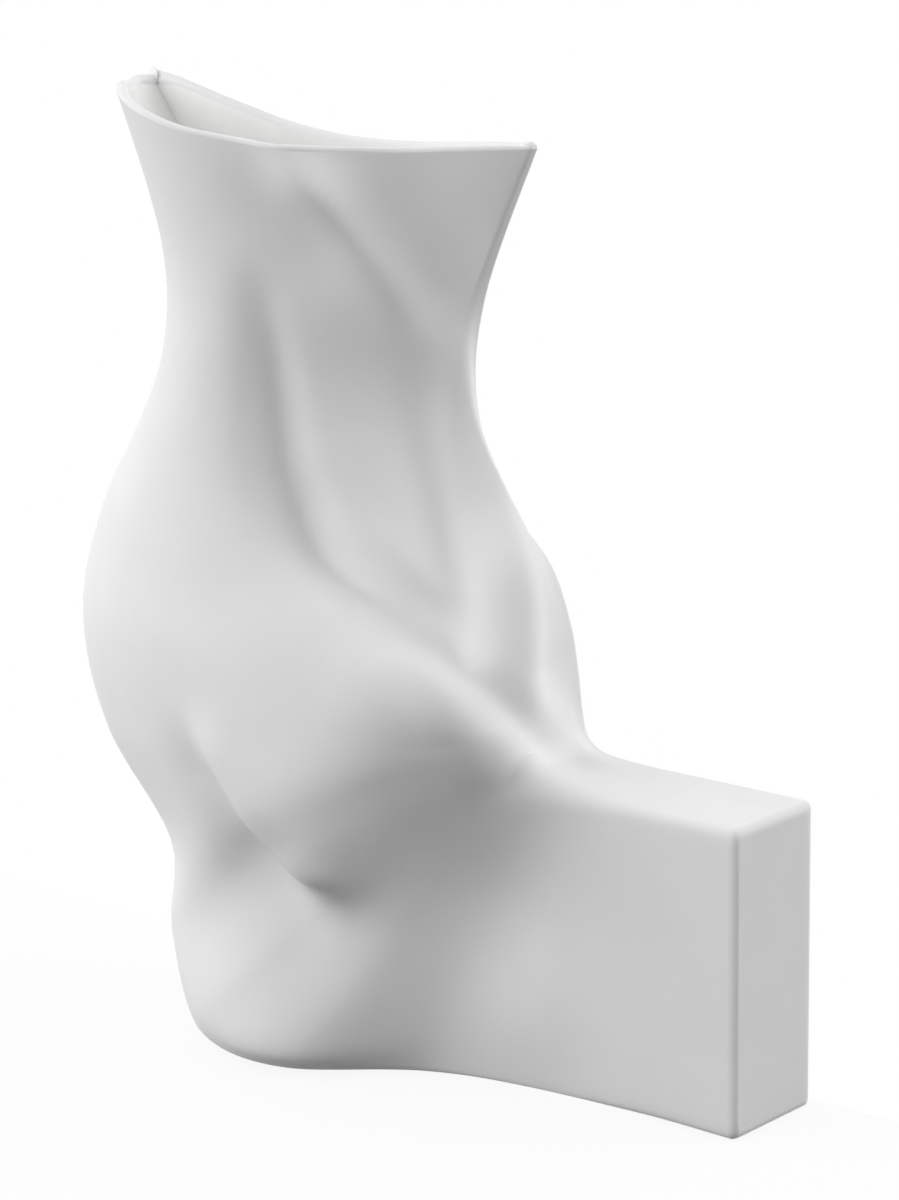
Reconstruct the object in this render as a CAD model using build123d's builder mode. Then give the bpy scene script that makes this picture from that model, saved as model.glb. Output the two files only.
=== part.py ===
from build123d import *
import math
import os

os.makedirs("parts", exist_ok=True)

# Hanging wall vase: a porcelain shell that hangs on a steel hook screwed to the wall.
# Millimetres. +Z is up, -Y points out into the room, +X points towards the block foot.
# The origin is on the wall surface, midway between the two screws of the bracket.

# Driving dimensions of the shell
vase_width = 226.0
vase_depth = 75.0
vase_height = 246.0
wall = 3.0
back_wall = 3.5
floor_wall = 4.0

# Driving dimensions of the hanger
plate_width = 26.0
plate_height = 60.0
plate_thick = 2.5
screw_inset = 8.0
tongue_width = 20.0
tongue_thick = 2.0
hook_lip = 9.0
sleeve_wall = 1.0
stand_off = 3.5
hook_height = 156.0
hook_place = 0.5
slot_clearance = 2.0
lift = 11.0

# Driving dimensions of the fasteners and bumpers
screw_diameter = 4.0
screw_head = 7.6
screw_length = 40.0
plug_diameter = 6.0
plug_length = 30.0
plug_relief = 0.4
fit = 0.1
bumper_diameter = 12.0
bumper_height = 26.0
bumper_left = -28.0
bumper_right = 104.0

# The shell's form, in millimetres from the back face, the floor and the hook line of the nominal vase.
# Each ring of the bent body runs forward from its right outline, round the front and back to its left outline:
# right outline (x, z), left outline (x, z), right side depth, its softness, left side depth, its softness,
# then three points across the front, each as a place from 0 right to 1 left and a depth.
rings = [
    [124.8, 80.0, 126.0, 0.0, 34.0, 5.0, 34.0, 5.0, 0.25, 34.0, 0.50, 34.0, 0.75, 34.0],
    [96.0, 80.0, 96.0, 0.0, 34.0, 5.0, 34.0, 5.0, 0.25, 34.0, 0.50, 34.0, 0.75, 34.0],
    [74.0, 80.0, 68.0, -2.0, 34.0, 7.0, 35.0, 6.0, 0.25, 34.0, 0.50, 34.0, 0.75, 35.0],
    [61.0, 80.8, 36.0, -6.0, 35.0, 9.0, 42.0, 10.0, 0.25, 35.0, 0.50, 37.0, 0.80, 42.0],
    [56.0, 83.0, 2.0, -10.0, 35.0, 12.0, 56.0, 18.0, 0.25, 42.0, 0.55, 54.0, 0.82, 68.0],
    [53.8, 86.0, -33.0, -8.0, 36.0, 14.0, 52.0, 22.0, 0.25, 56.0, 0.50, 63.0, 0.78, 77.0],
    [52.8, 90.5, -57.0, 16.0, 39.0, 15.0, 40.0, 18.0, 0.25, 71.0, 0.50, 71.0, 0.80, 67.0],
    [52.0, 96.0, -63.0, 41.0, 41.0, 16.0, 30.0, 14.0, 0.22, 70.0, 0.48, 76.0, 0.80, 62.0],
    [51.0, 103.0, -91.0, 70.0, 42.0, 16.0, 28.0, 13.0, 0.20, 73.0, 0.46, 77.0, 0.80, 60.0],
    [48.5, 114.0, -102.0, 101.0, 34.0, 14.0, 26.0, 12.0, 0.20, 64.0, 0.46, 73.0, 0.80, 58.0],
    [42.0, 128.0, -94.0, 131.0, 27.0, 10.0, 26.0, 12.0, 0.20, 48.0, 0.52, 67.0, 0.80, 54.0],
    [27.0, 144.0, -80.0, 157.0, 20.0, 8.0, 24.0, 11.0, 0.25, 42.0, 0.55, 60.0, 0.82, 49.0],
    [17.5, 168.0, -69.0, 182.0, 13.0, 6.0, 22.0, 10.0, 0.30, 36.0, 0.60, 54.0, 0.85, 44.0],
    [20.5, 196.0, -71.5, 208.0, 8.0, 4.4, 20.0, 9.0, 0.30, 32.0, 0.62, 50.0, 0.86, 41.0],
    [37.0, 235.0, -96.0, 245.0, 6.0, 2.6, 9.0, 4.0, 0.30, 24.0, 0.62, 52.0, 0.87, 36.0],
    [43.0, 247.0, -106.0, 259.0, 6.0, 2.6, 9.0, 4.0, 0.30, 24.0, 0.62, 53.0, 0.87, 36.0],
]

# Folds pressed into the form: points along each fold as x, y, z, half width and height, hollow when negative.
folds = {
    "crease": [
        [-22, -41, 198, 9, 0], [-20, -41, 189, 9, -3], [-19, -42, 177, 9, -6], [-16, -43, 167, 9, -8],
        [-11, -44, 156, 9, -9], [-6, -46, 147, 9, -9], [1, -47, 138, 9, -9], [9, -48, 131, 9, -9],
        [19, -47, 125, 9, -8], [32, -44, 119, 9, -7], [41, -42, 113, 9, -8], [50, -37, 103, 9, -6],
        [53, -23, 92, 9, -4], [57, -8, 83, 9, -2], [71, -8, 80, 9, 0],
    ],
    "thigh": [
        [-4, -58, 125, 16, 1], [12, -56, 120, 16, 4.5], [23, -56, 113, 16, 5.5], [34, -54, 106, 15, 6],
        [42, -51, 101, 14, 6], [49, -43, 92, 12, 5], [54, -33, 83, 10, 2], [67, -32, 80, 9, 0],
    ],
    "flank": [
        [27, -63, 103, 15, 3], [35, -60, 95, 15, 6], [42, -53, 87, 15, 6], [46, -43, 79, 14, 4],
        [53, -36, 74, 12, 0],
    ],
    "shin": [
        [11, -17, 195, 9, 0], [15, -14, 175, 9, 2], [19, -14, 160, 9, 3], [27, -20, 143, 9, 4],
        [37, -27, 131, 9, 4.5], [45, -34, 117, 9, 5], [51, -33, 104, 9, 5], [53, -21, 91, 9, 3.5],
        [58, -8, 82, 9, 1.5], [75, -11, 80, 9, 0],
    ],
    "hollow": [
        [34, -4, 136, 9, 0], [44, -8, 125, 9, -1], [49, -10, 113, 9, -2], [51, -10, 100, 9, -2],
        [53, -6, 90, 9, -1],
    ],
    "panel": [
        [-6, -31, 188, 14, -2], [0, -31, 164, 17, -4], [13, -35, 141, 15, -2.5], [28, -39, 127, 11, -2],
    ],
    "valley": [
        [56, -35, 71, 15, -3], [45, -41, 60, 21, -6], [60, -34, 56, 18, -3.5],
    ],
    "heel_crease": [
        [-21, -72, 92, 9, 0], [-19, -73, 81, 9, -3], [-12, -72, 68, 9, -6], [0, -71, 56, 9, -8],
        [12, -65, 48, 9, -8], [18, -60, 43, 9, -4], [28, -53, 41, 9, 0],
    ],
    "heel_ridge": [
        [-14, -73, 97, 9, 0], [-7, -75, 86, 9, 0], [-2, -73, 74, 9, 1], [9, -71, 62, 9, 2.5],
        [18, -63, 54, 9, 4], [26, -55, 46, 9, 2],
    ],
    "rim_fold": [
        [-21, -36, 236, 9, 1], [-16, -34, 233, 9, 2], [-12, -32, 226, 9, 3], [-6, -28, 220, 9, 3.5],
        [1, -24, 211, 9, 3], [7, -20, 202, 9, 2], [11, -16, 191, 9, 0],
    ],
    "rim_left": [
        [-26, -39, 232, 9, -1], [-23, -38, 224, 9, -3], [-16, -36, 215, 9, -4], [-11, -33, 207, 9, -4],
        [-3, -28, 195, 9, -1],
    ],
    "rim_right": [
        [7, -20, 231, 10, -2.5], [12, -17, 221, 11, -4], [15, -15, 209, 11, -4], [16, -12, 197, 10, -1],
        [17, -11, 185, 9, 0],
    ],
}

# The rim seen from the front, falling from the raised corner at the left.
rim = [[-112, 250], [-97, 246], [-79, 241.8], [-61, 237.8], [-43, 234.2], [-22, 232.2], [0, 232.4], [18, 233.4], [50, 235]]
rim_rise = 0.08

hook_reach = stand_off + back_wall + slot_clearance + tongue_thick
slot_width = tongue_width + 2 * sleeve_wall + 2 * slot_clearance
slot_height = tongue_thick + 2 * sleeve_wall + lift + slot_clearance
screw_bore = screw_diameter + 4 * fit
screw_pitch = plate_height - 2 * screw_inset
scale_x = vase_width / 226.0
scale_y = vase_depth / 75.0
scale_z = vase_height / 246.0
hook_top = tongue_thick / 2 + sleeve_wall
shift_x = -hook_place
shift_y = -stand_off
shift_z = hook_top - hook_height


def blend(rows, u):
    """Values at u along the rings, on a smooth curve through every row."""
    last = len(rows) - 1
    i = min(int(math.floor(u)), last - 1)
    f = u - i
    b = rows[i]
    c = rows[i + 1]
    a = rows[i - 1] if i > 0 else [2 * p - q for p, q in zip(b, c)]
    d = rows[i + 2] if i + 2 <= last else [2 * q - p for p, q in zip(b, c)]
    out = []
    for p0, p1, p2, p3 in zip(a, b, c, d):
        value = 2 * p1 + (p2 - p0) * f
        value += (2 * p0 - 5 * p1 + 4 * p2 - p3) * f**2 + (3 * p1 - p0 - 3 * p2 + p3) * f**3
        out.append(value / 2)
    return out


def rounded(points, count):
    """A clamped cubic curve drawn by its control points, at count even places."""
    spans = len(points) - 3
    knots = [0.0] * 3 + [float(k) for k in range(spans + 1)] + [float(spans)] * 3
    out = []
    for step in range(count):
        t = min(spans * step / (count - 1), spans - 1e-9)
        k = int(t) + 3
        d = [points[k - 3 + j] for j in range(4)]
        for r in range(1, 4):
            for j in range(3, r - 1, -1):
                low = knots[j + k - 3]
                w = (t - low) / (knots[j + 1 + k - r] - low)
                d[j] = ((1 - w) * d[j - 1][0] + w * d[j][0], (1 - w) * d[j - 1][1] + w * d[j][1])
        out.append(d[3])
    return out


def fold_height(x, y, z):
    """How far the folds move the surface at a point of the nominal form."""
    total = 0.0
    for line in folds.values():
        best = 9.0
        height = 0.0
        for a, b in zip(line, line[1:]):
            run = [b[j] - a[j] for j in range(3)]
            length = sum(v * v for v in run)
            k = ((x - a[0]) * run[0] + (y - a[1]) * run[1] + (z - a[2]) * run[2]) / length
            k = min(1.0, max(0.0, k))
            gap = math.dist((x, y, z), [a[j] + k * run[j] for j in range(3)])
            gap = gap / (a[3] + (b[3] - a[3]) * k)
            if gap < best:
                best = gap
                height = a[4] + (b[4] - a[4]) * k
        total += height * math.exp(-best * best)
    return total * min(1.0, max(0.0, -y / 8.0))


def side_normals(points):
    """Unit normals of an open curve, pointing out of the body."""
    out = []
    for i in range(len(points)):
        p = points[max(i - 1, 0)]
        q = points[min(i + 1, len(points) - 1)]
        length = math.dist(p, q)
        out.append(((p[1] - q[1]) / length, (q[0] - p[0]) / length))
    return out


def ring(u, count):
    """One ring as its plane and its outer points, along the ring's run and its depth."""
    rx, rz, lx, lz, right, soft_r, left, soft_l, s1, d1, s2, d2, s3, d3 = blend(rings, u)
    run = math.hypot(lx - rx, lz - rz)
    soft_r = min(soft_r, 0.48 * right)
    soft_l = min(soft_l, 0.48 * left)
    k1 = min(0.8, soft_r / math.hypot(s1 * run, d1 - right))
    k3 = min(0.8, soft_l / math.hypot((1 - s3) * run, d3 - left))
    polygon = [
        (0, 0), (0, right / 2), (0, right - soft_r), (0, right),
        (s1 * run * k1, right + (d1 - right) * k1),
        (s1 * run, d1), (s2 * run, d2), (s3 * run, d3),
        (run + (s3 - 1) * run * k3, left + (d3 - left) * k3),
        (run, left), (run, left - soft_l), (run, left / 2), (run, 0),
    ]
    points = rounded(polygon, count)
    shaped = []
    for (a, d), (na, nd) in zip(points, side_normals(points)):
        x = rx + (lx - rx) * a / run
        z = rz + (lz - rz) * a / run
        h = fold_height(x, -d, z)
        shaped.append((a + h * na, d + h * nd))
    # the nominal ring stretched to the driving dimensions
    wide = (lx - rx) * scale_x
    tall = (lz - rz) * scale_z
    stretch = math.hypot(wide, tall) / run
    shaped = [(a * stretch, d * scale_y) for a, d in shaped]
    along = Vector(wide, 0, tall).normalized()
    corner = Vector(rx * scale_x + shift_x, shift_y, rz * scale_z + shift_z)
    plane = Plane(origin=corner, x_dir=along, z_dir=along.cross(Vector(0, -1, 0)))
    return plane, shaped


def inside(points, count):
    """The cavity's ring: the outer ring moved in by the wall and cut off by the back wall."""
    moved = [(a - wall * na, d - wall * nd) for (a, d), (na, nd) in zip(points, side_normals(points))]
    deep = [i for i, p in enumerate(moved) if p[1] > back_wall + 0.2]
    kept = moved[deep[0] : deep[-1] + 1]
    kept = [(kept[0][0], back_wall)] + kept + [(kept[-1][0], back_wall)]
    length = [0.0]
    for p, q in zip(kept, kept[1:]):
        length.append(length[-1] + math.dist(p, q))
    out = []
    k = 0
    for step in range(count):
        target = length[-1] * step / (count - 1)
        while k < len(kept) - 2 and length[k + 1] < target:
            k += 1
        f = (target - length[k]) / max(length[k + 1] - length[k], 1e-9)
        out.append(tuple(kept[k][j] + f * (kept[k + 1][j] - kept[k][j]) for j in (0, 1)))
    return out


top = len(rings) - 1
steps = 2
stations = [k / steps for k in range(top * steps + 1)]

# Cavity of the shell
with BuildPart() as cavity:
    for u in [wall / 30.0] + stations[1:]:
        plane, points = ring(u, 121)
        points = inside(points, 33)
        with BuildSketch(plane):
            with BuildLine():
                Spline(*points)
                Line(points[-1], points[0])
            make_face()
    loft()
    split(bisect_by=Plane.XY.offset(shift_z + floor_wall), keep=Keep.TOP)

# Porcelain shell
with BuildPart() as vase_body:
    for u in stations:
        plane, points = ring(u, 35)
        with BuildSketch(plane):
            with BuildLine():
                Spline(*points)
                Line(points[-1], points[0])
            make_face()
    loft()
    split(bisect_by=Plane.XY.offset(shift_z), keep=Keep.TOP)
    add(cavity.part, mode=Mode.SUBTRACT)
    # the rim is cut to its falling line, a little higher at the front than at the back
    with BuildSketch(Plane.XZ.offset(-10)):
        with BuildLine():
            line = [(x * scale_x + shift_x, z * scale_z + shift_z - 10 * rim_rise) for x, z in rim]
            Spline(*line)
            Polyline(line[-1], (line[-1][0], line[0][1] + 60), (line[0][0], line[0][1] + 60), line[0])
        make_face()
    extrude(amount=vase_depth + 60, dir=(0, -1, rim_rise), mode=Mode.SUBTRACT)
    # hanging slot in the back wall, its top edge resting on the sleeve
    with BuildSketch(Plane.XZ.offset(stand_off - 1)):
        with Locations((0, hook_top - slot_height / 2)):
            RectangleRounded(slot_width, slot_height, 3)
    extrude(amount=back_wall + 2, mode=Mode.SUBTRACT)
vase_body.part.label = "vase_body"
export_step(vase_body.part, "parts/vase_body.step")

# Steel bracket: a plate on the wall, and a tongue that turns up inside the vase
with BuildPart() as wall_bracket:
    with BuildSketch(Plane.XZ):
        RectangleRounded(plate_width, plate_height, 4)
    extrude(amount=plate_thick)
    with BuildSketch(Plane.YZ):
        with BuildLine():
            Polyline(
                (-plate_thick, -tongue_thick / 2),
                (-hook_reach, -tongue_thick / 2),
                (-hook_reach, tongue_thick / 2 + hook_lip),
                (-hook_reach + tongue_thick, tongue_thick / 2 + hook_lip),
                (-hook_reach + tongue_thick, tongue_thick / 2),
                (-plate_thick, tongue_thick / 2),
                close=True,
            )
        make_face()
    extrude(amount=tongue_width / 2, both=True)
    bend = wall_bracket.edges().filter_by(Axis.X).group_by(Axis.Y)[0].sort_by(Axis.Z)[0]
    fillet(bend, tongue_thick)
    tips = wall_bracket.edges().filter_by(Axis.Y).sort_by(Axis.Z)
    fillet(tips.filter_by(lambda e: e.center().Z > hook_lip and e.center().Y < -plate_thick), 3)
    with BuildSketch(Plane.XZ.offset(plate_thick)):
        with GridLocations(0, screw_pitch, 1, 2):
            Circle(screw_head / 2)
    extrude(amount=-(screw_head - screw_bore) / 2, taper=45, mode=Mode.SUBTRACT)
    with BuildSketch(Plane.XZ):
        with GridLocations(0, screw_pitch, 1, 2):
            Circle(screw_bore / 2)
    extrude(amount=plate_thick, mode=Mode.SUBTRACT)
    # room at the back for a plug that stands a little proud of the wall
    with BuildSketch(Plane.XZ):
        with GridLocations(0, screw_pitch, 1, 2):
            Circle(plug_diameter / 2 + plug_relief)
    extrude(amount=plug_relief, mode=Mode.SUBTRACT)
wall_bracket.part.label = "wall_bracket"
export_step(wall_bracket.part, "parts/wall_bracket.step")

# Silicone sleeve pushed over the tongue
with BuildPart() as hook_sleeve:
    with BuildSketch(Plane.XZ.offset(plate_thick)):
        RectangleRounded(tongue_width + 2 * sleeve_wall, tongue_thick + 2 * sleeve_wall, sleeve_wall)
        Rectangle(tongue_width, tongue_thick, mode=Mode.SUBTRACT)
    extrude(amount=hook_reach - tongue_thick - plate_thick)
hook_sleeve.part.label = "hook_sleeve"
export_step(hook_sleeve.part, "parts/hook_sleeve.step")

# Countersunk screws with a cross recess, and the plugs that they spread in the wall
for place, height in (("top", screw_pitch / 2), ("bottom", -screw_pitch / 2)):
    head_depth = (screw_head - screw_diameter) / 2
    with BuildPart() as screw:
        with BuildSketch(Plane.YZ):
            with BuildLine():
                Polyline(
                    (-plate_thick, height),
                    (-plate_thick, height + screw_head / 2),
                    (-plate_thick + head_depth, height + screw_diameter / 2),
                    (screw_length - plate_thick - screw_diameter, height + screw_diameter / 2),
                    (screw_length - plate_thick, height + 0.3),
                    (screw_length - plate_thick, height),
                    close=True,
                )
            make_face()
        revolve(axis=Axis((0, 0, height), (0, 1, 0)))
        with BuildSketch(Plane.XZ.offset(plate_thick)):
            with Locations((0, height)):
                Rectangle(screw_head * 0.6, 1.1)
                Rectangle(1.1, screw_head * 0.6)
        extrude(amount=-head_depth * 0.8, taper=8, mode=Mode.SUBTRACT)
    screw.part.label = "bracket_screw_" + place
    export_step(screw.part, "parts/bracket_screw_" + place + ".step")

    with BuildPart() as plug:
        with BuildSketch(Plane.XZ):
            with Locations((0, height)):
                Circle(plug_diameter / 2)
                Circle(screw_diameter / 2 + fit, mode=Mode.SUBTRACT)
        extrude(amount=-plug_length)
        with BuildSketch(Plane.XZ.offset(-plug_length * 0.25)):
            with Locations((0, height)):
                Rectangle(0.8, plug_diameter * 2)
        extrude(amount=-plug_length * 0.55, mode=Mode.SUBTRACT)
    plug.part.label = "wall_plug_" + place
    export_step(plug.part, "parts/wall_plug_" + place + ".step")

# Silicone bumpers on the back face, as thick as the vase stands off the wall
for place, along in (("left", bumper_left), ("right", bumper_right)):
    with BuildPart() as bumper:
        with BuildSketch(Plane.XZ):
            with Locations((along * scale_x + shift_x, bumper_height * scale_z + shift_z)):
                Circle(bumper_diameter / 2)
        extrude(amount=stand_off)
        fillet(bumper.edges().filter_by(GeomType.CIRCLE).sort_by(Axis.Y)[-1], 1)
    bumper.part.label = "wall_bumper_" + place
    export_step(bumper.part, "parts/wall_bumper_" + place + ".step")

print("shell", vase_body.part.is_valid, len(vase_body.part.solids()), vase_body.part.center(CenterOf.MASS))
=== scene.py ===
import math
import bpy
import numpy as np
from mathutils import Matrix, Vector
from mathutils.geometry import delaunay_2d_cdt


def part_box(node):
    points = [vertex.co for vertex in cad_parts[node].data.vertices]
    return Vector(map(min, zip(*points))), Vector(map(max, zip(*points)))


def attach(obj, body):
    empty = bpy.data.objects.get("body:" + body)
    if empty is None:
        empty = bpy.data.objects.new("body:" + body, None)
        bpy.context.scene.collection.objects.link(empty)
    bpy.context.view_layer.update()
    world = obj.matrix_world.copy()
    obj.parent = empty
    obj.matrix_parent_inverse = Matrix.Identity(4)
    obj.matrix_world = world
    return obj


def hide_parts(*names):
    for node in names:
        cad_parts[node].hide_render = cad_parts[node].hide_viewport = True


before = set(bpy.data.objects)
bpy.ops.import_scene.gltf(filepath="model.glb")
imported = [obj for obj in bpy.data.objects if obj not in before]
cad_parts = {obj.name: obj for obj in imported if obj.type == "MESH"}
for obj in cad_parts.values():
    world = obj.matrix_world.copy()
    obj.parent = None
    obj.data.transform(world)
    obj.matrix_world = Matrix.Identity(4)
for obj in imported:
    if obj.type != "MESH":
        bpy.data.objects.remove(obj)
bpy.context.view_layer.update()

print("scene: frame loaded")

millimetre = 0.001
vaseLow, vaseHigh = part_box("vase_body")

# The vase's own form is drawn in millimetres: x from the hook line, y from the flat back, z from the base.
formReach = 126.0
formOrigin = np.array([vaseHigh[0], vaseHigh[1], vaseLow[2]]) / millimetre - np.array([formReach, 0, 0])

# The photo's camera: the photo's size in pixels, the camera's place in the form's millimetres, its turn and
# tilt in degrees, its lens and sensor in millimetres, and how far it sees in metres.
photo = {
    "size": (899, 1200),
    "place": (655.9, -794.96, 365.05),
    "turn": 39.2,
    "tilt": 13.8,
    "lens": 120.0,
    "sensor": 36.0,
    "clipEnd": 100.0,
}

# The looks' patterns are noises, each with the width of one patch in millimetres and its detail.
vase = {
    "wall": 2.6,
    "backWall": 3.2,
    "floorWall": 4.0,
    "backTurn": 1.2,
    "floorTurn": 1.5,
    "lip": 1.9,
    "lipSteps": 10,
    "backEdge": 1.5,
    "toeEdge": 2.4,
    "toeSteps": 7,
    "solidRings": 3,
    "ringsPerStation": 20,
    "pointsAround": 261,
    "sideCrowding": 0.75,
    "foldSmoothing": 3,
    "foldFade": 8.0,
    "slotCentre": (0.5, 147.5),
    "slotHalf": (13.0, 8.5),
    "slotCorner": 3.0,
    "slotSteps": 6,
    "outside": {
        "colours": ("#ECECED", "#EFEFEF"),
        "patterns": ((24.0, 3.0), (0.5, 2.0)),
        "roughness": (0.4, 0.5),
        "relief": (0.012, 0.5),
        "ior": 1.5,
    },
    "inside": {
        # the inside's colours are near white as painted light: they brighten the shaded inside beyond the
        # bisque's own white
        "colours": ("#F8F8F7", "#FCFCFB"),
        "patterns": ((18.0, 3.0), (7.0, 1.0)),
        "roughness": (0.1, 0.15),
        "relief": (0.05, 0.6),
        "ior": 1.52,
    },
}

# Stations of the bent body, from the block's end to above the rim. Each has its right outline (x, z), its
# left outline (x, z), right side depth and softness, left side depth and softness, and three front points
# (place, depth).
stations = [
    [124.8, 80.0, 126.0, 0.0, 34.0, 5.0, 34.0, 5.0, 0.25, 34.0, 0.50, 34.0, 0.75, 34.0],
    [96.0, 80.0, 96.0, 0.0, 34.0, 5.0, 34.0, 5.0, 0.25, 34.0, 0.50, 34.0, 0.75, 34.0],
    [74.0, 80.0, 68.0, -2.0, 34.0, 7.0, 35.0, 6.0, 0.25, 34.0, 0.50, 34.0, 0.75, 35.0],
    [61.0, 80.8, 36.0, -6.0, 35.0, 9.0, 44.0, 10.0, 0.25, 35.0, 0.50, 37.0, 0.80, 43.5],
    [56.0, 83.0, 2.0, -10.0, 34.0, 12.0, 60.0, 18.0, 0.25, 43.0, 0.55, 55.0, 0.82, 71.0],
    [53.8, 86.0, -33.0, -8.0, 36.0, 14.0, 54.0, 22.0, 0.25, 54.0, 0.50, 60.5, 0.78, 75.0],
    [52.8, 90.5, -57.0, 16.0, 40.0, 15.0, 40.0, 18.0, 0.25, 67.0, 0.50, 65.0, 0.80, 63.5],
    [52.0, 96.0, -63.0, 41.0, 42.0, 16.0, 30.0, 14.0, 0.22, 69.0, 0.48, 74.0, 0.80, 61.0],
    [51.0, 103.0, -91.0, 70.0, 43.0, 16.0, 28.0, 13.0, 0.20, 67.5, 0.46, 75.0, 0.80, 58.5],
    [48.5, 114.0, -102.0, 101.0, 35.0, 14.0, 26.0, 12.0, 0.20, 61.0, 0.46, 73.0, 0.80, 57.0],
    [42.0, 128.0, -94.0, 131.0, 27.0, 10.0, 26.0, 12.0, 0.20, 53.0, 0.52, 66.0, 0.80, 53.0],
    [27.0, 144.0, -80.0, 157.0, 18.0, 8.0, 24.0, 11.0, 0.25, 47.0, 0.55, 60.0, 0.82, 47.5],
    [17.5, 168.0, -69.0, 182.0, 11.0, 6.0, 22.0, 10.0, 0.30, 41.0, 0.60, 54.0, 0.85, 42.5],
    [20.5, 196.0, -72.3, 208.0, 5.5, 3.0, 20.0, 9.0, 0.30, 37.0, 0.62, 50.0, 0.86, 39.5],
    [37.0, 235.0, -97.0, 245.0, 3.5, 1.6, 9.0, 4.0, 0.30, 24.0, 0.62, 52.0, 0.87, 36.0],
    [43.0, 247.0, -107.0, 259.0, 3.5, 1.6, 9.0, 4.0, 0.30, 24.0, 0.62, 53.0, 0.87, 36.0],
]

# Folds of the body as strokes on the photo: pixels from its left and from its top, then half width and
# height in millimetres. The height is below zero where the fold is hollow.
folds = {
    "crease": [
        (257, 262, 5, 0), (262, 305, 5, -3), (267, 355, 5.5, -6), (272, 410, 6, -8.5), (280, 460, 6.5, -10),
        (291, 500, 7, -11), (308, 535, 7, -11), (336, 562, 7, -10.5), (370, 588, 7.5, -9.5),
        (410, 613, 7.5, -9), (444, 642, 6.5, -7), (472, 682, 5.5, -4), (508, 722, 5, -2), (555, 753, 6, -1),
        (611, 766, 7, 0),
    ],
    "thigh": [
        (270, 590, 16, 0), (320, 618, 16, 2.5), (354, 648, 14, 5), (392, 674, 12.5, 8), (430, 702, 11.5, 9.5),
        (469, 734, 11, 8.5), (507, 762, 11, 5), (545, 786, 11, 2), (585, 805, 10, 0),
    ],
    "flank": [
        (350, 700, 15, 0.5), (387, 733, 15, 1), (425, 765, 14, 1.5), (465, 792, 14, 3), (505, 805, 12, 0),
    ],
    "belly": [
        (240, 700, 16, 0), (262, 755, 16, 0.5), (289, 806, 15, 2.5), (330, 843, 13.5, 6), (378, 866, 12, 2),
        (420, 880, 12, 0),
    ],
    "shin": [
        (440, 300, 10, 0), (462, 370, 10, 3), (474, 440, 10, 5.5), (490, 511, 10, 7), (508, 569, 10, 7),
        (514, 630, 10, 7), (516, 684, 10, 6), (540, 720, 9, 3.5), (580, 750, 8, 1.5), (632, 772, 7, 0),
    ],
    "panel": [
        (395, 330, 9, -1), (412, 390, 8.5, -2.5), (424, 440, 8.5, -4), (440, 505, 8, -5), (456, 562, 8, -5.5),
        (470, 612, 7.5, -4), (480, 645, 7, -1.5),
    ],
    "valley": [
        (470, 892, 20, -8), (505, 894, 19, -5.5), (548, 895, 18, -2.5), (595, 895, 16, 0),
    ],
    "heelCrease": [
        (180, 715, 6, 0), (190, 755, 5.5, -3), (214, 806, 6.5, -5.5), (250, 860, 8, -7.5),
        (298, 895, 8, -6.5), (334, 911, 9, -2.5), (372, 914, 8, 0),
    ],
    "heelRidge": [
        (196, 710, 6, 0), (214, 750, 5, 3), (240, 798, 6, 3.5), (278, 842, 7, 3.5), (318, 872, 7, 6.5),
        (362, 890, 8.5, 0),
    ],
    "rimFold": [
        (262, 124, 6, 4), (280, 152, 5.5, 7), (300, 180, 5.5, 10), (326, 207, 5.5, 10.5), (356, 238, 6, 8.5),
        (386, 280, 7, 6), (408, 330, 8, 3.5), (424, 390, 8, 0),
    ],
    "rimLeft": [
        (236, 160, 8, 0), (252, 188, 7.5, -1), (276, 220, 7.5, -2), (310, 255, 8.5, -2.5), (346, 300, 8, 0),
    ],
    "rimRight": [
        (372, 150, 10, -4), (404, 190, 13.5, -6), (430, 240, 13, -5.5), (446, 300, 10, -2.5),
        (455, 340, 9, 0),
    ],
}

# The rim's line is seen from the front, as (x, z), and falls from the raised corner at the left.
rim = {
    "line": [
        (-112, 250), (-97, 246), (-79, 241.8), (-61, 237.8), (-43, 234.3), (-22, 232.6), (0, 233.2),
        (18, 234.6), (50, 236.8),
    ],
    "lineSteps": 160,
    "backSteps": 60,
    "rise": 0.08,
    "levelShare": 0.8,
    "levelFrom": -30.0,
    "levelRun": 40.0,
    "nickDrop": 1.8,
    "nickEdge": -84.0,
    "nickRun": 8.0,
    "nickStart": 0.8,
    "nickTurn": 2.6,
}

# The base is crisp under the block and softer under the heel.
base = {
    "heelFrom": 75.0,
    "heelRun": 35.0,
    "crisp": 0.3,
    "softer": 3.7,
    "sink": 8.0,
    "reach": 40.0,
}


def linearColour(hexColour):
    channels = [int(hexColour[i : i + 2], 16) / 255 for i in (1, 3, 5)]
    return tuple(c / 12.92 if c <= 0.04045 else ((c + 0.055) / 1.055) ** 2.4 for c in channels) + (1.0,)


def addNode(tree, kind, inputs=None, **settings):
    # an input takes a value, a socket, or a node whose first output is meant
    node = tree.nodes.new(kind)
    for name, value in settings.items():
        setattr(node, name, value)
    for name, value in (inputs or {}).items():
        if isinstance(value, bpy.types.Node):
            value = value.outputs[0]
        if isinstance(value, bpy.types.NodeSocket):
            tree.links.new(value, node.inputs[name])
        else:
            node.inputs[name].default_value = value
    return node


def newMaterial(name, look):
    material = bpy.data.materials.new(name)
    material.use_nodes = True
    tree = material.node_tree
    place = addNode(tree, "ShaderNodeTexCoord").outputs["Object"]
    patterns = []
    for size, detail in look["patterns"]:
        inputs = {"Vector": place, "Scale": 1 / (size * millimetre), "Detail": detail}
        patterns.append(addNode(tree, "ShaderNodeTexNoise", inputs))
    return material, tree, patterns


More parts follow.
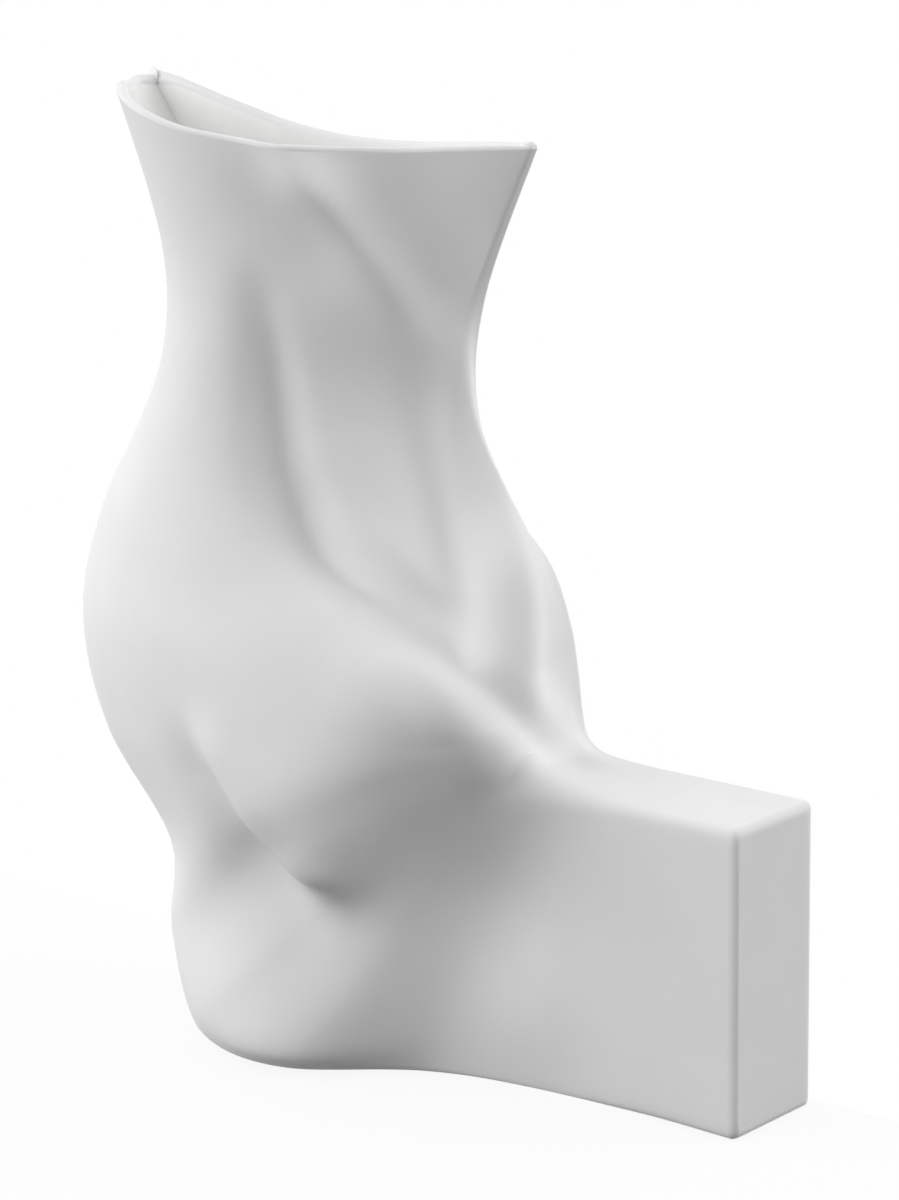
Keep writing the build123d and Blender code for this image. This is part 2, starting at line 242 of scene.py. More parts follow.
def wireSurface(tree, look, mottle, uneven, raised):
    # one pattern mixes the two colours, one sets the roughness between its limits, one stands as relief
    colourLimits = (0.35, 0.65)
    noiseLow, noiseHigh = 0.3, 0.7
    ramp = addNode(tree, "ShaderNodeValToRGB", {"Fac": mottle})
    for element, position, colour in zip(ramp.color_ramp.elements, colourLimits, look["colours"]):
        element.position = position
        element.color = linearColour(colour)
    smooth, rough = look["roughness"]
    limits = {"From Min": noiseLow, "From Max": noiseHigh, "To Min": smooth, "To Max": rough}
    roughness = addNode(tree, "ShaderNodeMapRange", {"Value": uneven, **limits})
    depth, strength = look["relief"]
    inputs = {"Height": raised, "Distance": depth * millimetre, "Strength": strength}
    relief = addNode(tree, "ShaderNodeBump", inputs)
    shader = tree.nodes["Principled BSDF"]
    for name, node in (("Base Color", ramp), ("Roughness", roughness), ("Normal", relief)):
        tree.links.new(node.outputs[0], shader.inputs[name])
    return shader


def seenDirectly(tree):
    # one for what the camera sees, straight or by way of gloss and clear stuff
    path = addNode(tree, "ShaderNodeLightPath").outputs
    seen = path["Is Camera Ray"]
    for other in ("Is Glossy Ray", "Is Transmission Ray"):
        seen = addNode(tree, "ShaderNodeMath", {0: seen, 1: path[other]}, operation="MAXIMUM")
    return seen


def bisqueMaterial():
    # unglazed porcelain: an eggshell sheen, faint clouding, and a grain coarse enough to soften highlights
    look = vase["outside"]
    material, tree, (clouds, grain) = newMaterial("bisquePorcelain", look)
    shader = wireSurface(tree, look, clouds, grain, grain)
    shader.inputs["IOR"].default_value = look["ior"]
    return material


def glazeMaterial():
    # clear glaze over the inside: wet gloss with a slow ripple, its colour a shade whiter than the bisque as
    # painted light that brightens the shaded inside
    look = vase["inside"]
    material, tree, (clouds, ripple) = newMaterial("clearGlazePaintedBright", look)
    shader = wireSurface(tree, look, clouds, clouds, ripple)
    shader.inputs["IOR"].default_value = look["ior"]
    return material


def alongRows(rows, places):
    # smooth curve through every row
    rows = np.array(rows, float)
    padded = np.vstack([2 * rows[0] - rows[1], rows, 2 * rows[-1] - rows[-2]])
    index = np.clip(np.floor(places).astype(int), 0, len(rows) - 2)
    f = (places - index)[:, None]
    a, b, c, d = (padded[index + k] for k in range(4))
    return 0.5 * (2 * b + (c - a) * f + (2 * a - 5 * b + 4 * c - d) * f**2 + (3 * b - a - 3 * c + d) * f**3)


def splineWeights(controls, places):
    # clamped cubic curve drawn by its control points
    spans = controls - 3
    knots = np.concatenate([np.zeros(3), np.arange(spans + 1), np.full(3, spans)]).astype(float)
    t = np.clip(places, 0, 1 - 1e-9) * spans
    weights = [np.where((t >= knots[i]) & (t < knots[i + 1]), 1.0, 0.0) for i in range(len(knots) - 1)]
    for degree in (1, 2, 3):
        higher = []
        for i in range(len(knots) - 1 - degree):
            value = np.zeros_like(t)
            if knots[i + degree] > knots[i]:
                value = value + (t - knots[i]) / (knots[i + degree] - knots[i]) * weights[i]
            if knots[i + degree + 1] > knots[i + 1]:
                end = knots[i + degree + 1]
                value = value + (end - t) / (end - knots[i + 1]) * weights[i + 1]
            higher.append(value)
        weights = higher
    return np.array(weights)


def ringSurface(along, around):
    sideShare = 0.48
    turnShare = 0.8
    rx, rz, lx, lz, right, softR, left, softL, s1, d1, s2, d2, s3, d3 = alongRows(stations, along).T
    run = np.hypot(lx - rx, lz - rz)
    softR = np.minimum(softR, sideShare * right)
    softL = np.minimum(softL, sideShare * left)
    k1 = np.minimum(turnShare, softR / np.hypot(s1 * run, d1 - right))
    k3 = np.minimum(turnShare, softL / np.hypot((1 - s3) * run, d3 - left))
    zero = np.zeros_like(run)
    one = zero + 1
    across = [zero, zero, zero, zero, s1 * k1, s1, s2, s3, 1 + (s3 - 1) * k3, one, one, one, one]
    depth = [
        zero, right / 2, right - softR, right, right + (d1 - right) * k1,
        d1, d2, d3, left + (d3 - left) * k3, left, left - softL, left / 2, zero,
    ]
    weights = splineWeights(len(across), around)
    s = np.stack(across, 1) @ weights
    d = np.stack(depth, 1) @ weights
    x = rx[:, None] + (lx - rx)[:, None] * s
    z = rz[:, None] + (lz - rz)[:, None] * s
    return np.stack([x, -d, z], -1)


def surfaceNormals(grid):
    normal = np.cross(np.gradient(grid, axis=0), np.gradient(grid, axis=1))
    return normal / np.maximum(np.linalg.norm(normal, axis=-1, keepdims=True), 1e-9)


def photoAxes():
    turn = math.radians(photo["turn"])
    tilt = math.radians(photo["tilt"])
    right = np.array([math.cos(turn), math.sin(turn), 0])
    back = np.array([math.sin(turn) * math.cos(tilt), -math.cos(turn) * math.cos(tilt), math.sin(tilt)])
    return right, np.cross(back, right), back


def foldsOnForm():
    # each point of a stroke goes to where the photo shows it on the plain form, to the nearest millimetre
    ringsPerStation = 16
    pointsAround = 161
    nearFirst = 0.02
    last = len(stations) - 1
    form = ringSurface(np.linspace(0, last, last * ringsPerStation + 1), np.linspace(0, 1, pointsAround))
    towards = np.array(photo["place"]) - form
    facing = (surfaceNormals(form) * towards).sum(-1) > 0
    right, up, back = photoAxes()
    wide, tall = photo["size"]
    focal = photo["lens"] / photo["sensor"] * tall
    far = towards @ back
    across = wide / 2 - focal * (towards @ right) / far
    down = tall / 2 + focal * (towards @ up) / far
    lines = []
    for stroke in folds.values():
        line = []
        for pixelX, pixelY, halfWidth, height in stroke:
            gap = np.hypot(across - pixelX, down - pixelY) + nearFirst * far
            nearest = np.unravel_index(np.where(facing, gap, np.inf).argmin(), gap.shape)
            line.append([*np.round(form[nearest]), halfWidth, height])
        lines.append(line)
    return lines


def foldHeight(points, fold):
    # the height is blended along the line, so that it doesn't jump where two of its parts are equally near
    stepsPerPoint = 6
    nearness = 5.0
    line = alongRows(fold, np.linspace(0, len(fold) - 1, (len(fold) - 1) * stepsPerPoint + 1))
    gaps = []
    heights = []
    for a, b in zip(line, line[1:]):
        run = b[:3] - a[:3]
        k = np.clip((points - a[:3]) @ run / (run @ run), 0, 1)
        gaps.append(np.linalg.norm(points - a[:3] - k[..., None] * run, axis=-1) / (a[3] + (b[3] - a[3]) * k))
        heights.append(a[4] + (b[4] - a[4]) * k)
    squares = np.array(gaps) ** 2
    nearest = squares.min(axis=0)
    share = np.exp(nearness * (nearest - squares))
    height = (share * np.array(heights)).sum(axis=0) / share.sum(axis=0)
    return height * np.exp(-nearest)


def softened(field, passes):
    # neighbours averaged along both directions of the grid
    for _ in range(passes):
        for axis in (0, 1):
            before = np.take(field, [0] + list(range(field.shape[axis] - 1)), axis)
            after = np.take(field, list(range(1, field.shape[axis])) + [field.shape[axis] - 1], axis)
            field = 0.25 * before + 0.5 * field + 0.25 * after
    return field


def smoothStep(value):
    value = np.clip(value, 0, 1)
    return value * value * (3 - 2 * value)


def softAbove(value, softness):
    # zero below, the value itself above, with a rounded turn between
    return 0.5 * (value + np.sqrt(value * value + softness * softness))


def flattenBase(points):
    heel = smoothStep((base["heelFrom"] - points[..., 0]) / base["heelRun"])
    softness = base["crisp"] + base["softer"] * heel
    z = softAbove(points[..., 2], softness) - softAbove(-base["sink"] * heel, softness)
    points[..., 2] = np.where(points[..., 2] < base["reach"], np.maximum(z, 0), points[..., 2])
    return points


def rimHeight(points):
    x = points[..., 0]
    depth = -points[..., 1]
    line = alongRows(rim["line"], np.linspace(0, len(rim["line"]) - 1, rim["lineSteps"] + 1))
    # the back stands proud of the lip as a small nick at the high corner
    inFront = smoothStep((depth - rim["nickStart"]) / rim["nickTurn"])
    nick = inFront * smoothStep((rim["nickEdge"] - x) / rim["nickRun"])
    level = smoothStep((x - rim["levelFrom"]) / rim["levelRun"])
    rise = rim["rise"] * (1 - rim["levelShare"] * level)
    return np.interp(x, line[:, 0], line[:, 1]) + rise * depth - rim["nickDrop"] * nick


def cutAtRim(grid, along, below):
    # each column stops on the rim line, and its upper rows share the height that is left
    shareFrom = 12.0
    lowestCut = 12.5
    gap = grid[..., 2] - rimHeight(grid) + below
    upper = along > shareFrom
    count = upper.sum()
    out = grid.copy()
    for j in range(grid.shape[1]):
        over = np.nonzero((gap[:, j] > 0) & (along > lowestCut))[0][0]
        share = gap[over - 1, j] / (gap[over - 1, j] - gap[over, j])
        stop = along[over - 1] + share * (along[over] - along[over - 1])
        places = shareFrom + (stop - shareFrom) * np.arange(1, count + 1) / count
        for axis in range(3):
            out[upper, j, axis] = np.interp(places, along, grid[:, j, axis])
    return out


def roundBackEdge(grid, radius):
    # the sides turn into the flat back through a small round edge
    out = grid.copy()
    near = np.clip(-grid[..., 1], 0, radius)
    inset = radius - np.sqrt(np.maximum(radius**2 - (radius - near) ** 2, 0))
    middle = grid.shape[1] // 2
    direction = grid[:, -1] - grid[:, 0]
    direction = direction / np.linalg.norm(direction, axis=-1, keepdims=True)
    sign = np.where(np.arange(grid.shape[1]) < middle, 1.0, -1.0)
    out += direction[:, None, :] * (inset * sign[None, :])[..., None]
    return out


class ShellMesh:
    def __init__(self):
        self.points = []
        self.faces = []
        self.finish = []
        self.smooth = []

    def add(self, points):
        start = len(self.points)
        self.points.extend(tuple(p) for p in points)
        return start

    def face(self, corners, finish, smooth=True):
        self.faces.append(corners)
        self.finish.append(finish)
        self.smooth.append(smooth)

    def grid(self, grid, finish, flip=False, closed=False):
        rows, columns = grid.shape[:2]
        start = self.add(grid.reshape(-1, 3))
        for i in range(rows - 1):
            for j in range(columns if closed else columns - 1):
                k = (j + 1) % columns
                corners = [start + i * columns + j, start + (i + 1) * columns + j]
                corners += [start + (i + 1) * columns + k, start + i * columns + k]
                self.face(corners[::-1] if flip else corners, finish)

    def plate(self, outline, hole, finish, towards):
        # flat wall at the outline's depth, with a hole through it
        points = [Vector((p[0], p[2])) for p in list(outline) + list(hole)]
        first = len(outline)
        edges = [(i, (i + 1) % first) for i in range(first)]
        edges += [(first + i, first + (i + 1) % len(hole)) for i in range(len(hole))]
        insideOnly = 2
        tolerance = 1e-5
        flat, _, faces, _, _, _ = delaunay_2d_cdt(points, edges, [], insideOnly, tolerance)
        start = self.add([(p[0], outline[0][1], p[1]) for p in flat])
        for corners in faces:
            a, b, c = (flat[k] for k in corners[:3])
            turn = (b - a).cross(c - a)
            corners = [start + k for k in corners]
            self.face(corners[::-1] if turn * towards > 0 else corners, finish, False)

    def build(self, name, materials):
        mesh = bpy.data.meshes.new(name)
        points = (np.array(self.points) + formOrigin) * millimetre
        mesh.from_pydata(points.tolist(), [], self.faces)
        for material in materials:
            mesh.materials.append(material)
        mesh.polygons.foreach_set("material_index", self.finish)
        mesh.polygons.foreach_set("use_smooth", self.smooth)
        mesh.update()
        piece = bpy.data.objects.new(name, mesh)
        bpy.context.scene.collection.objects.link(piece)
        return piece


def slotOutline(depth):
    # the hanging slot seen from the front, a rectangle with rounded corners, its top edge on the hook
    centreX, centreZ = vase["slotCentre"]
    halfWide, halfTall = vase["slotHalf"]
    corner = vase["slotCorner"]
    steps = vase["slotSteps"]
    out = []
    for quarter in range(4):
        turnX = 1 if quarter in (0, 3) else -1
        turnZ = 1 if quarter in (0, 1) else -1
        for step in range(steps + 1):
            angle = math.pi / 2 * (quarter + step / steps)
            x = centreX + turnX * (halfWide - corner) + corner * math.cos(angle)
            z = centreZ + turnZ * (halfTall - corner) + corner * math.sin(angle)
            out.append((x, -depth, z))
    return out


def rimBackLine(start, end, depth, below):
    # points of the rim along the flat back, from its left end to its right end
    count = rim["backSteps"]
    share = np.linspace(0, 1, count + 2)[1:-1]
    x = start[0] + (end[0] - start[0]) * share
    points = np.stack([x, np.full(count, -depth), np.zeros(count)], -1)
    points[:, 2] = rimHeight(points) - below
    return points


def vaseSurfaces():
    last = len(stations) - 1
    along = np.linspace(0, last, last * vase["ringsPerStation"] + 1)
    endWidth = stations[0][0] - stations[1][0]
    along[0] = vase["toeEdge"] / endWidth
    along[1] = along[0] + 0.5 * (along[2] - along[0])
    even = np.linspace(0, 1, vase["pointsAround"])
    around = even - vase["sideCrowding"] * np.sin(2 * math.pi * even) / (2 * math.pi)
    raw = ringSurface(along, around)
    moved = np.zeros(raw.shape[:2])
    for fold in foldsOnForm():
        moved += foldHeight(raw, fold)
    moved = softened(moved, vase["foldSmoothing"]) * smoothStep(-raw[..., 1] / vase["foldFade"])
    body = flattenBase(raw + surfaceNormals(raw) * moved[..., None])
    inner = body - surfaceNormals(body) * vase["wall"]
    inner[..., 1] = -vase["backWall"] - softAbove(-inner[..., 1] - vase["backWall"], vase["backTurn"])
    inner[..., 2] = vase["floorWall"] + softAbove(inner[..., 2] - vase["floorWall"], vase["floorTurn"])
    outside = cutAtRim(roundBackEdge(body, vase["backEdge"]), along, vase["lip"] / 2)
    inside = cutAtRim(inner, along, vase["lip"] / 2)
    return outside, inside[vase["solidRings"] :]


def addBlockEnd(shell, outside, inside):
    # the last ring turns in through a round edge to a flat face
    radius = vase["toeEdge"]
    halfDeep = stations[0][4] / 2
    halfTall = stations[0][1] / 2
    middle = outside[0].mean(0)
    shrink = outside[0] - middle
    rows = []
    for step in range(vase["toeSteps"] + 1):
        angle = math.pi / 2 * step / vase["toeSteps"]
        inset = radius * (1 - math.cos(angle))
        size = np.array([1.0, 1 - inset / halfDeep, 1 - inset / halfTall])
        rows.append(middle + shrink * size + np.array([radius * math.sin(angle), 0, 0]))
    shell.grid(np.array(rows), 0, False, True)
    start = shell.add(rows[-1])
    shell.face([start + k for k in range(len(rows[-1]))][::-1], 0, False)
    start = shell.add(inside[0])
    shell.face([start + k for k in range(len(inside[0]))], 1, False)


def addLip(shell, outerLoop, innerLoop):
    # the outer and inner loops of the rim are joined by a half round
    centre = (outerLoop + innerLoop) / 2
    half = (outerLoop - innerLoop) / 2
    size = np.linalg.norm(half, axis=-1, keepdims=True)
    upward = np.array([0, 0, 1.0]) - half / size * (half[:, 2:] / size)
    upward /= np.linalg.norm(upward, axis=-1, keepdims=True)
    angles = np.linspace(0, math.pi, vase["lipSteps"] + 1)
    lip = [centre + half * math.cos(a) + upward * size * math.sin(a) for a in angles]
    shell.grid(np.array(lip), 0, True, True)


def buildVase():
    outside, inside = vaseSurfaces()
    shell = ShellMesh()
    shell.grid(outside, 0, True)
    shell.grid(inside, 1, False)
    addBlockEnd(shell, outside, inside)

    backDepth = -inside[-1, 0, 1]
    outerBack = rimBackLine(outside[-1, -1], outside[-1, 0], 0.0, vase["lip"] / 2)
    innerBack = rimBackLine(inside[-1, -1], inside[-1, 0], backDepth, vase["lip"] / 2)
    addLip(shell, np.vstack([outside[-1], outerBack]), np.vstack([inside[-1], innerBack]))

    # flat back, its inner face and the slot through both
    outerEdge = np.vstack([outside[:, 0], outerBack[::-1], outside[::-1, -1]])
    innerEdge = np.vstack([inside[:, 0], innerBack[::-1], inside[::-1, -1]])
    outerEdge[:, 1] = 0.0
    innerEdge[:, 1] = -backDepth
    shell.plate(outerEdge, slotOutline(0.0), 0, 1)
    shell.plate(innerEdge, slotOutline(backDepth), 1, -1)
    slotWall = np.array([slotOutline(0.0), slotOutline(backDepth)])
    shell.grid(slotWall, 0, False, True)

    piece = shell.build("vase_shell", [bisqueMaterial(), glazeMaterial()])
    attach(piece, "vase")
    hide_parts("vase_body")
    return piece


vaseShell = buildVase()
print("scene: vase shell", len(vaseShell.data.polygons), "faces")


hanger = {
    "steel": {
        "colours": ("#AEB2B7", "#C6C9CC"),
        "patterns": ((5.0, 3.0), (0.45, 2.0)),
        "brushLength": 24.0,
        "roughness": (0.24, 0.4),
        "relief": (0.01, 0.5),
        "metallic": 1.0,
    },
    "silicone": {
        "colours": ("#E2E2DD", "#ECECE8"),
        "patterns": ((3.0, 3.0), (0.4, 2.0)),
        "roughness": (0.28, 0.42),
        "relief": (0.01, 0.5),
        "transmission": 0.35,
        "ior": 1.41,
    },
    "nylon": {
        "colours": ("#93969A", "#A3A6A9"),
        "patterns": ((6.0, 3.0), (0.35, 2.0)),
        "roughness": (0.42, 0.6),
        "relief": (0.02, 0.6),
        "ior": 1.53,
    },
}


def steelMaterial():
    # zinc-plated sheet steel: brushed along its length under the plating, with faint pale and dark patches
    look = hanger["steel"]
    material, tree, (patches, lines) = newMaterial("zincPlatedSteel", look)
    place = tree.nodes["Texture Coordinate"].outputs["Object"]
    stretch = addNode(tree, "ShaderNodeMapping", {"Vector": place, "Scale": (1, 1, 1 / look["brushLength"])})
    tree.links.new(stretch.outputs[0], lines.inputs["Vector"])
    shader = wireSurface(tree, look, patches, lines, lines)
    shader.inputs["Metallic"].default_value = look["metallic"]
    return material


def siliconeMaterial():
    # moulded silicone: milky and half clear, with a satin skin that holds a little dust
    look = hanger["silicone"]
    material, tree, (haze, skin) = newMaterial("clearSilicone", look)
    shader = wireSurface(tree, look, haze, haze, skin)
    shader.inputs["Transmission Weight"].default_value = look["transmission"]
    shader.inputs["IOR"].default_value = look["ior"]
    return material


def nylonMaterial():
    # injection-moulded nylon: dull grey with a fine spark-eroded grain, a shade paler where it flowed last
    look = hanger["nylon"]
    material, tree, (flow, grain) = newMaterial("greyNylon", look)
    shader = wireSurface(tree, look, flow, grain, grain)
    shader.inputs["IOR"].default_value = look["ior"]
    return material


def nodePlace(node):
    # middle of the front end, length and radius of a node that lies along y, in the form's millimetres
    low, high = (np.array(corner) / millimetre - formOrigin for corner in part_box(node))
    front = np.array([(low[0] + high[0]) / 2, low[1], (low[2] + high[2]) / 2])
    return front, high[1] - low[1], (high[0] - low[0]) / 2


def dressNode(piece, node):
    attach(piece, "bracket")
    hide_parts(node)


screw = {
    "pointsAround": 40,
    "headHeight": 1.8,
    "headEdge": 0.12,
    "plainShank": 1.2,
    "ringGap": 0.2,
    "threadPitch": 1.8,
    "threadDepth": 0.62,
    "threadHalf": 0.34,
    "threadRunIn": 1.5,
    "pointLength": 5.0,
    "pointPower": 0.8,
    "pointTip": 0.08,
    "recess": (2.3, 0.55, 1.4),
    "recessTaper": (0.7, 0.8),
}


def crossOutline(place, depth, arm, half):
    corners = [(arm, half), (half, half), (half, arm), (-half, arm), (-half, half), (-arm, half)]
    corners += [(-x, -z) for x, z in corners]
    return [(place[0] + x, place[1] + depth, place[2] + z) for x, z in corners]


def buildScrew(node, name, material):
    # countersunk wood screw: flat head with a cross recess, then a rolled thread down to a gimlet point
    place, length, headRadius = nodePlace(node)
    headHeight = screw["headHeight"]
    edge = screw["headEdge"]
    shank = headRadius - headHeight
    turns = np.linspace(0, 2 * math.pi, screw["pointsAround"] + 1)[:-1]
    threadStart = headHeight + screw["plainShank"]
    rings = np.arange(threadStart + screw["ringGap"], length, screw["ringGap"])
    rows = []
    for y in np.concatenate([[0.0, edge, headHeight, threadStart], rings, [length]]):
        radius = np.full(len(turns), shank)
        if y < headHeight:
            radius[:] = headRadius - max(y - edge, 0.0) if y > 0 else headRadius - edge
        elif y > threadStart:
            phase = (y / screw["threadPitch"] - turns / (2 * math.pi)) % 1.0
            ridge = smoothStep(1 - np.abs(phase - 0.5) / screw["threadHalf"])
            depth = screw["threadDepth"] * min(1.0, (y - threadStart) / screw["threadRunIn"])
            toTip = max(screw["pointTip"], (length - y) / screw["pointLength"])
            radius = (shank - depth * (1 - ridge)) * min(1.0, toTip ** screw["pointPower"])
        x = place[0] + radius * np.cos(turns)
        z = place[2] + radius * np.sin(turns)
        rows.append(np.stack([x, np.full(len(turns), place[1] + y), z], -1))
    shell = ShellMesh()
    shell.grid(np.array(rows), 0, False, True)
    arm, half, depth = screw["recess"]
    armTaper, halfTaper = screw["recessTaper"]
    mouth = crossOutline(place, 0.0, arm, half)
    bottom = crossOutline(place, depth, arm * armTaper, half * halfTaper)
    shell.plate(rows[0], mouth, 0, -1)
    shell.grid(np.array([mouth, bottom]), 0, False, True)
    shell.plate(bottom, [], 0, -1)
    tip = shell.add(rows[-1])
    shell.face([tip + k for k in range(len(turns))][::-1], 0, False)
    dressNode(shell.build(name, [material]), node)


plug = {
    "pointsAcross": 21,
    "bore": 2.1,
    "collar": 5.0,
    "ribGap": 2.4,
    "ribDepth": 0.34,
    "ribEdge": 0.1,
    "plainEnd": 1.0,
    "slit": (0.25, 0.80, 0.4),
    "slitEdge": 0.01,
    "endInset": 0.25,
    "endEdges": (0.3, 0.5),
}


def plugRow(place, y, outer, gap, side):
    # half a ring, along the outside and back along the bore
    row = []
    for r, sweep in ((outer, 1), (plug["bore"], -1)):
        end = math.pi / 2 - math.asin(gap / r)
        for angle in np.linspace(-end, end, plug["pointsAcross"]) * sweep:
            x = place[0] + side * r * math.cos(angle)
            row.append((x, place[1] + y, place[2] + r * math.sin(angle)))
    return row


def plugStations(length, slitStart, slitEnd):
    # where the plug's form changes along its length
    frontEdge, backEdge = plug["endEdges"]
    slitEdge = plug["slitEdge"]
    down = [0.0, frontEdge]
    for y in np.arange(plug["collar"], length - plug["plainEnd"], plug["ribGap"]):
        down += [y, y + plug["ribEdge"]]
    down += [slitStart, slitStart + slitEdge, slitEnd - slitEdge, slitEnd, length - backEdge, length]
    return np.array(sorted(down))


def buildPlug(node, name, material):
    # wall plug: a plain collar, then barbed ribs on two jaws that the slit lets the screw push apart
    place, length, radius = nodePlace(node)
    slitStart, slitEnd, slitHalf = plug["slit"]
    slitStart, slitEnd = slitStart * length, slitEnd * length
    down = plugStations(length, slitStart, slitEnd)
    lastAcross = plug["pointsAcross"] - 1
    shell = ShellMesh()
    for side in (1, -1):
        rows = []
        for y in down:
            outer = radius
            if y >= plug["collar"]:
                outer -= plug["ribDepth"] * (1 - ((y - plug["collar"]) / plug["ribGap"]) % 1.0)
            outer -= plug["endInset"] if y in (down[0], down[-1]) else 0.0
            rows.append(plugRow(place, y, outer, slitHalf if slitStart < y < slitEnd else 0.0, side))
        rows = np.array(rows)
        columns = rows.shape[1]
        start = shell.add(rows.reshape(-1, 3))
        for i in range(len(down) - 1):
            split = down[i + 1] > slitStart and down[i] < slitEnd
            for j in range(columns):
                if j in (lastAcross, columns - 1) and not split:
                    continue
                k = (j + 1) % columns
                corners = [start + i * columns + j, start + (i + 1) * columns + j]
                corners += [start + (i + 1) * columns + k, start + i * columns + k]
                shell.face(corners[::side], 0, j < lastAcross or lastAcross < j < columns - 1)
        for i, turn in ((0, -side), (len(down) - 1, side)):
            first = start + i * columns
            for j in range(lastAcross):
                corners = [first + j, first + columns - 1 - j, first + columns - 2 - j, first + j + 1]
                shell.face(corners[::turn], 0, False)
    dressNode(shell.build(name, [material]), node)


def buildHanger():
    steel = steelMaterial()
    silicone = siliconeMaterial()
    nylon = nylonMaterial()
    finishes = {
        "wall_bracket": steel,
        "hook_sleeve": silicone,
        "wall_bumper_left": silicone,
        "wall_bumper_right": silicone,
    }
    for node, material in finishes.items():
        for slot in bpy.data.objects[node].material_slots:
            slot.material = material
    for end in ("top", "bottom"):
        buildScrew("bracket_screw_" + end, "wood_screw_" + end, steel)
        buildPlug("wall_plug_" + end, "barbed_plug_" + end, nylon)


buildHanger()
print("scene: bracket, screws, plugs and bumpers")


studio = {
    "floorColour": "#F4F4F4",
    "floorGlow": 0.9,
    "floorReach": 6.0,
    "groundShade": 0.06,
    "wallPlace": 0.0002,
    "wallReach": 3.0,
    "bankTurn": 47.0,
    "levelAll": 1.39,
    "sideBanks": 1.9,
    "leanRight": -0.14,
    "frontDimmer": 0.86,
    "topDimmer": 1.0,
    "dimmest": 0.02,
    "horizon": 0.1,
    "underfoot": 0.01,
}
white = (1, 1, 1, 1)


def plane(name, corners, material):
    mesh = bpy.data.meshes.new(name)
    mesh.from_pydata(corners, [], [(0, 1, 2, 3)])
    mesh.materials.append(material)
    piece = bpy.data.objects.new(name, mesh)
    bpy.context.scene.collection.objects.link(piece)


def emptyMaterial(name):
    material = bpy.data.materials.new(name)
    material.use_nodes = True
    material.node_tree.nodes.clear()
    return material, material.node_tree


def floorMaterial():
    # matt studio floor: white to the eye with a soft contact shadow, and darker to the light that it returns
    material, tree = emptyMaterial("studioFloor")
    shade = studio["groundShade"]
    dark = addNode(tree, "ShaderNodeBsdfDiffuse", {"Color": (shade, shade, shade, 1)})
    matt = addNode(tree, "ShaderNodeBsdfDiffuse", {"Color": linearColour(studio["floorColour"])})
    glow = addNode(tree, "ShaderNodeEmission", {"Color": white, "Strength": 1.0})
    pale = addNode(tree, "ShaderNodeMixShader", {0: studio["floorGlow"], 1: matt, 2: glow})
    both = addNode(tree, "ShaderNodeMixShader", {0: seenDirectly(tree), 1: dark, 2: pale})
    addNode(tree, "ShaderNodeOutputMaterial", {"Surface": both})
    return material


def wallMaterial():
    # white wall seen from the room only: light passes it, and from behind it isn't there
    material, tree = emptyMaterial("studioWall")
    behind = addNode(tree, "ShaderNodeNewGeometry").outputs["Backfacing"]
    front = addNode(tree, "ShaderNodeMath", {0: 1.0, 1: behind}, operation="SUBTRACT")
    seen = addNode(tree, "ShaderNodeMath", {0: seenDirectly(tree), 1: front}, operation="MULTIPLY")
    clear = addNode(tree, "ShaderNodeBsdfTransparent")
    glow = addNode(tree, "ShaderNodeEmission", {"Color": white, "Strength": 1.0})
    both = addNode(tree, "ShaderNodeMixShader", {0: seen, 1: clear, 2: glow})
    addNode(tree, "ShaderNodeOutputMaterial", {"Surface": both})
    return material


def buildStage():
    low = vaseLow[2]
    reach = studio["floorReach"]
    floorCorners = [(-reach, -reach, low), (reach, -reach, low), (reach, reach, low), (-reach, reach, low)]
    plane("studio_floor", floorCorners, floorMaterial())
    y = studio["wallPlace"]
    reach = studio["wallReach"]
    wallCorners = [(-reach, y, low), (reach, y, low), (reach, y, reach), (-reach, y, reach)]
    plane("studio_wall", wallCorners, wallMaterial())


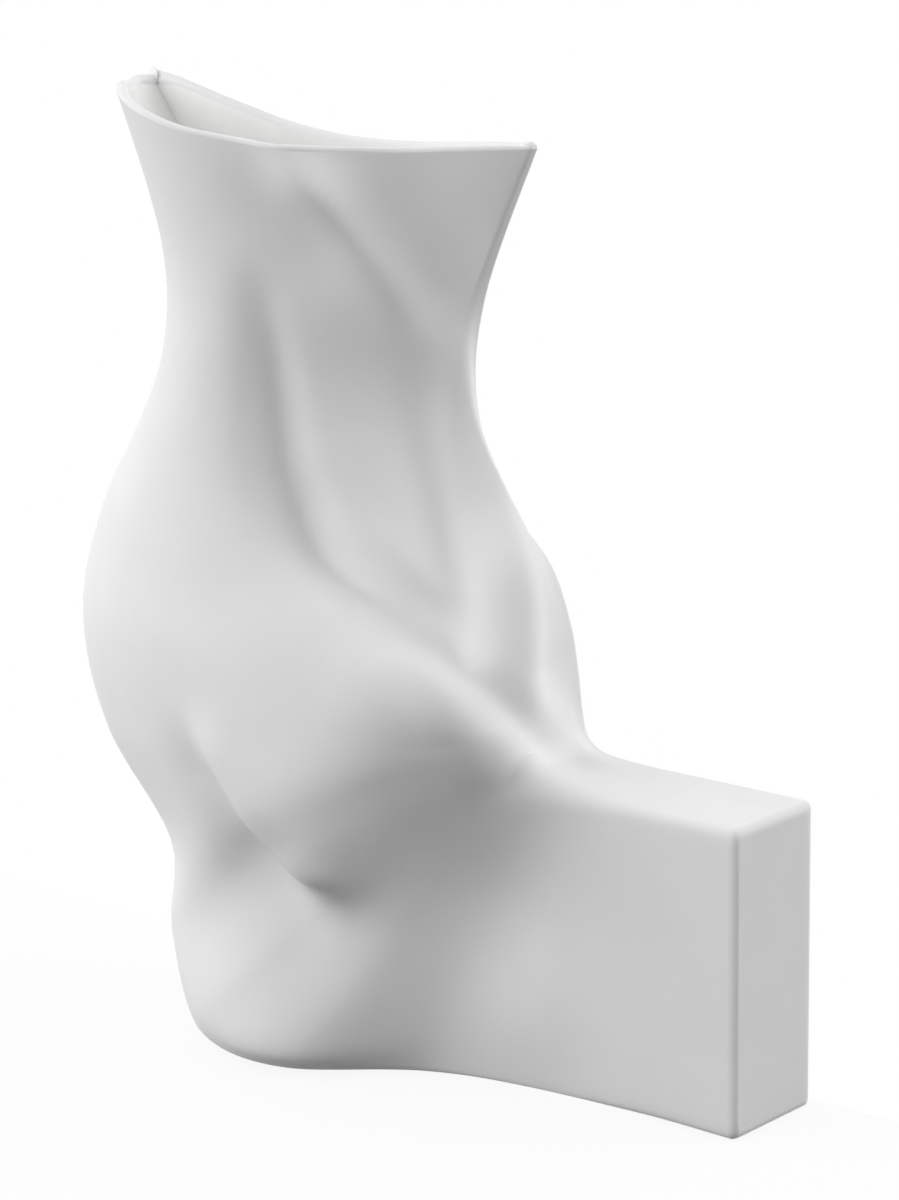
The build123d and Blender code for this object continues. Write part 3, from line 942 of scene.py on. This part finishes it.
def buildWorld():
    # a soft tent with a light bank at each side of the object, dimmer towards the camera, overhead and below
    world = bpy.data.worlds.new("softTent")
    bpy.context.scene.world = world
    world.use_nodes = True
    tree = world.node_tree
    tree.nodes.clear()
    direction = addNode(tree, "ShaderNodeTexCoord").outputs["Generated"]
    height = addNode(tree, "ShaderNodeSeparateXYZ", {0: direction}).outputs["Z"]
    turn = math.radians(studio["bankTurn"])
    leanings = []
    for axis in ((math.cos(turn), math.sin(turn), 0), (math.sin(turn), -math.cos(turn), 0)):
        leaning = addNode(tree, "ShaderNodeVectorMath", {0: direction, 1: axis}, operation="DOT_PRODUCT")
        leanings.append(leaning.outputs["Value"])
    side, front = leanings
    lean = addNode(tree, "ShaderNodeMath", {0: side, 1: studio["leanRight"]}, operation="MULTIPLY")
    dimmers = []
    for part, amount in ((front, studio["frontDimmer"]), (height, studio["topDimmer"])):
        share = addNode(tree, "ShaderNodeMath", {0: part, 1: 0.0}, operation="MAXIMUM")
        dimmers.append(addNode(tree, "ShaderNodeMath", {0: share, 1: amount}, operation="MULTIPLY"))
    reach = studio["horizon"]
    inputs = {"Value": height, "From Min": -reach, "From Max": reach, "To Min": 0.0, "To Max": 1.0}
    horizon = addNode(tree, "ShaderNodeMapRange", inputs, interpolation_type="SMOOTHSTEP")
    steps = [
        ("MULTIPLY", side),
        ("MULTIPLY", studio["sideBanks"]),
        ("ADD", lean),
        ("ADD", studio["levelAll"]),
        ("SUBTRACT", dimmers[0]),
        ("SUBTRACT", dimmers[1]),
        ("MAXIMUM", studio["dimmest"]),
        ("MULTIPLY", horizon),
        ("ADD", studio["underfoot"]),
    ]
    level = side
    for operation, value in steps:
        level = addNode(tree, "ShaderNodeMath", {0: level, 1: value}, operation=operation)
    tent = addNode(tree, "ShaderNodeBackground", {"Color": white, "Strength": level})
    plain = addNode(tree, "ShaderNodeBackground", {"Color": white, "Strength": 1.0})
    both = addNode(tree, "ShaderNodeMixShader", {0: seenDirectly(tree), 1: tent, 2: plain})
    addNode(tree, "ShaderNodeOutputWorld", {"Surface": both})


def buildCamera():
    camera = bpy.data.cameras.new("photoCamera")
    camera.lens = photo["lens"]
    camera.sensor_width = photo["sensor"]
    camera.clip_end = photo["clipEnd"]
    holder = bpy.data.objects.new("photoCamera", camera)
    bpy.context.scene.collection.objects.link(holder)
    right, up, back = photoAxes()
    place = (np.array(photo["place"]) + formOrigin) * millimetre
    columns = np.column_stack([right, up, back, place])
    holder.matrix_world = Matrix([*columns.tolist(), (0, 0, 0, 1)])
    bpy.context.scene.camera = holder


buildStage()
buildWorld()
buildCamera()
bpy.context.scene.view_settings.view_transform = "Standard"
print("scene: stage, world and camera")
